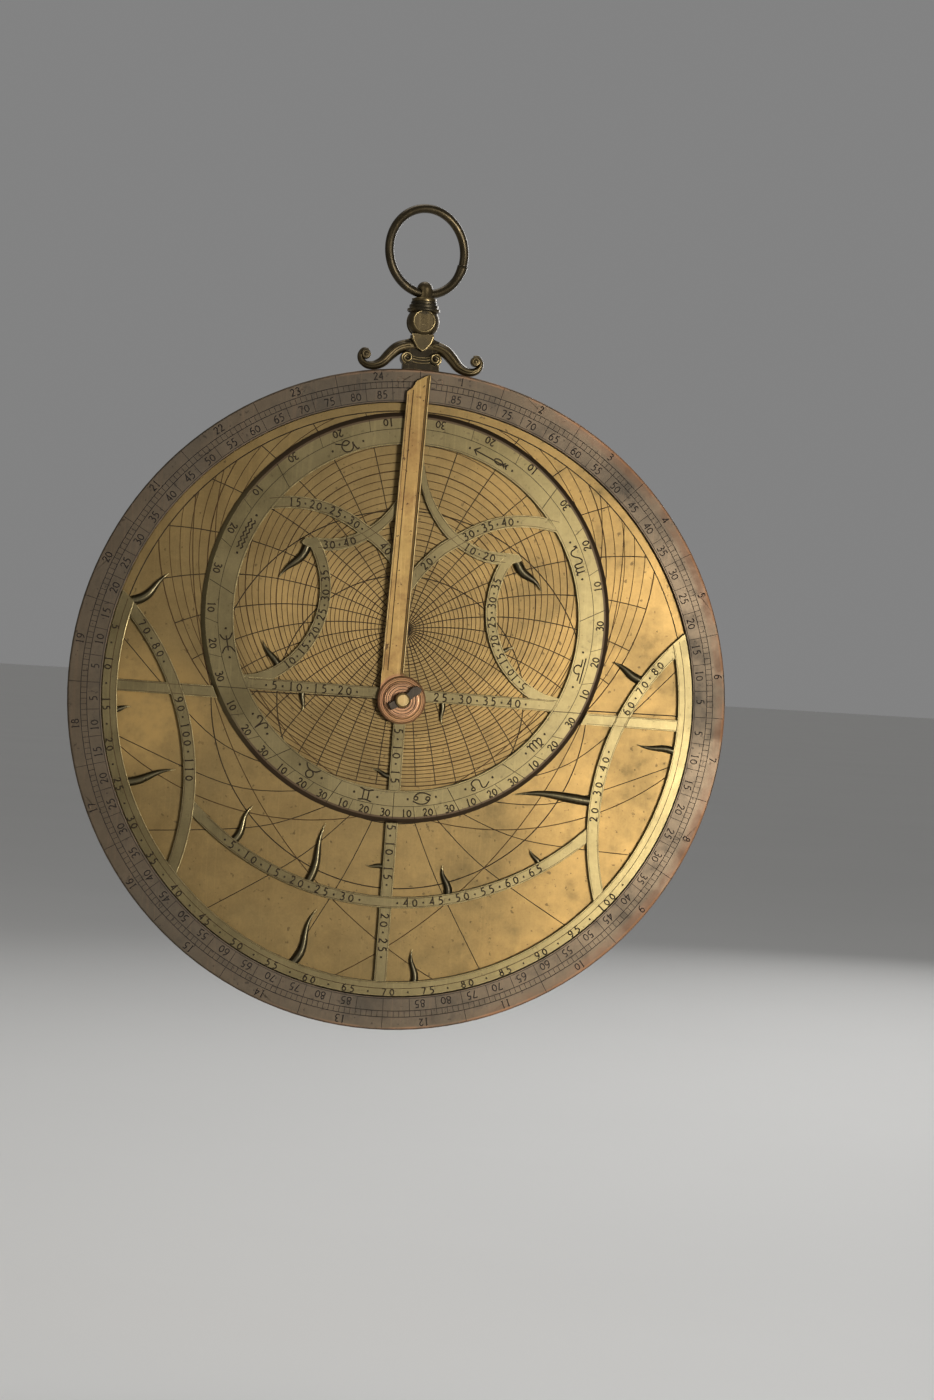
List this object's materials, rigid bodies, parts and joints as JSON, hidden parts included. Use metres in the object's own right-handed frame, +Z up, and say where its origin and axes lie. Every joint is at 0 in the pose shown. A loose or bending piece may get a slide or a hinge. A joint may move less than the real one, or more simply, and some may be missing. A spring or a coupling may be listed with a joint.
{
  "type": "planispheric astrolabe",
  "caption": "Round brass planispheric astrolabe: ring, shackle and throne over an engraved disc with latitude plates, a pierced turning star map, a rule, a pin with wedge and an alidade.",
  "frame": {"origin": "the hang point: the inside of the suspension ring at its top, where a hook, thong or thumb carries the instrument", "axes": "+Z up; the front face with the star map looks towards -Y and the alidade's back towards +Y; +X is to the right seen from the front"},
  "size_m": [0.2, 0.0285, 0.2501],
  "materials": {
    "ring_bronze": "dark patinated bronze, worn to a soft shine",
    "throne_bronze": "dark patinated bronze with worn highlights",
    "limb_brass": "brown tarnished brass, engraved",
    "plate_brass": "aged brass, engraved",
    "tympan_brass": "aged golden brass, engraved",
    "rete_brass": "pale aged brass, satin",
    "pointer_brass": "dark patinated brass with bright ridges",
    "rule_brass": "bright golden brass, satin",
    "pin_brass": "bright brass",
    "washer_copper": "copper-red brass, turned",
    "wedge_iron": "dark iron",
    "alidade_brass": "aged brass, satin"
  },
  "bodies": {
    "ring": {"suspension_ring": "ring_bronze"},
    "swivel": {"swivel_eye": "throne_bronze"},
    "shackle": {"shackle": "throne_bronze", "shackle_pin": "throne_bronze"},
    "mater": {"throne_plate": "throne_bronze", "throne_volutes": "throne_bronze", "throne_arm_left": "throne_bronze", "throne_arm_right": "throne_bronze", "throne_rivets": "limb_brass", "mater_plate": "plate_brass", "limb_ring": "limb_brass", "limb_rivets": "limb_brass", "womb_stud": "plate_brass", "tympan_back": "tympan_brass", "tympan_middle": "tympan_brass", "tympan_front": "tympan_brass"},
    "rete": {"rete_rim": "rete_brass", "ecliptic_ring": "rete_brass", "rete_inner_bars": "rete_brass", "rete_outer_bars": "rete_brass", "rete_side_straps": "rete_brass", "rete_lower_strap": "rete_brass", "rete_lens_straps": "rete_brass", "rete_crown_straps": "rete_brass", "star_pointers": "pointer_brass"},
    "rule": {"rule": "rule_brass"},
    "pin": {"centre_pin": "pin_brass", "front_washer": "washer_copper", "back_washer": "alidade_brass"},
    "wedge": {"wedge": "wedge_iron"},
    "alidade": {"alidade": "alidade_brass", "vane_hinge_pins": "pin_brass"},
    "vane_upper": {"sight_vane_upper": "alidade_brass"},
    "vane_lower": {"sight_vane_lower": "alidade_brass"}
  },
  "joints": [
    {"name": "ring_swing", "type": "hinge", "parent": "ring", "child": "swivel", "pos_m": [0, 0, -0.02445], "axis": [0.9272, 0.3746, 0], "range_deg": [-75, 75]},
    {"name": "swivel_turn", "type": "hinge", "parent": "swivel", "child": "shackle", "pos_m": [0, 0, -0.02685], "axis": [0, 0, 1], "continuous": true},
    {"name": "shackle_pivot", "type": "hinge", "parent": "shackle", "child": "mater", "pos_m": [0, 0, -0.03295], "axis": [0, 1, 0], "range_deg": [-70, 70]},
    {"name": "rete_turn", "type": "hinge", "parent": "mater", "child": "rete", "pos_m": [0, 0, -0.14745], "axis": [0, 1, 0], "continuous": true},
    {"name": "rule_turn", "type": "hinge", "parent": "mater", "child": "rule", "pos_m": [0, 0, -0.14745], "axis": [0, 1, 0], "continuous": true},
    {"name": "pin_turn", "type": "hinge", "parent": "mater", "child": "pin", "pos_m": [0, 0, -0.14745], "axis": [0, 1, 0], "continuous": true},
    {"name": "wedge_slide", "type": "slide", "parent": "pin", "child": "wedge", "axis": [0.8572, 0, 0.515], "range_m": [0, 0.012]},
    {"name": "alidade_turn", "type": "hinge", "parent": "mater", "child": "alidade", "pos_m": [0, 0, -0.14745], "axis": [0, 1, 0], "continuous": true},
    {"name": "vane_upper_fold", "type": "hinge", "parent": "alidade", "child": "vane_upper", "pos_m": [0, 0.00645, -0.07545], "axis": [-1, 0, 0], "range_deg": [0, 88]},
    {"name": "vane_lower_fold", "type": "hinge", "parent": "alidade", "child": "vane_lower", "pos_m": [0, 0.00645, -0.21945], "axis": [1, 0, 0], "range_deg": [0, 88]}
  ]
}
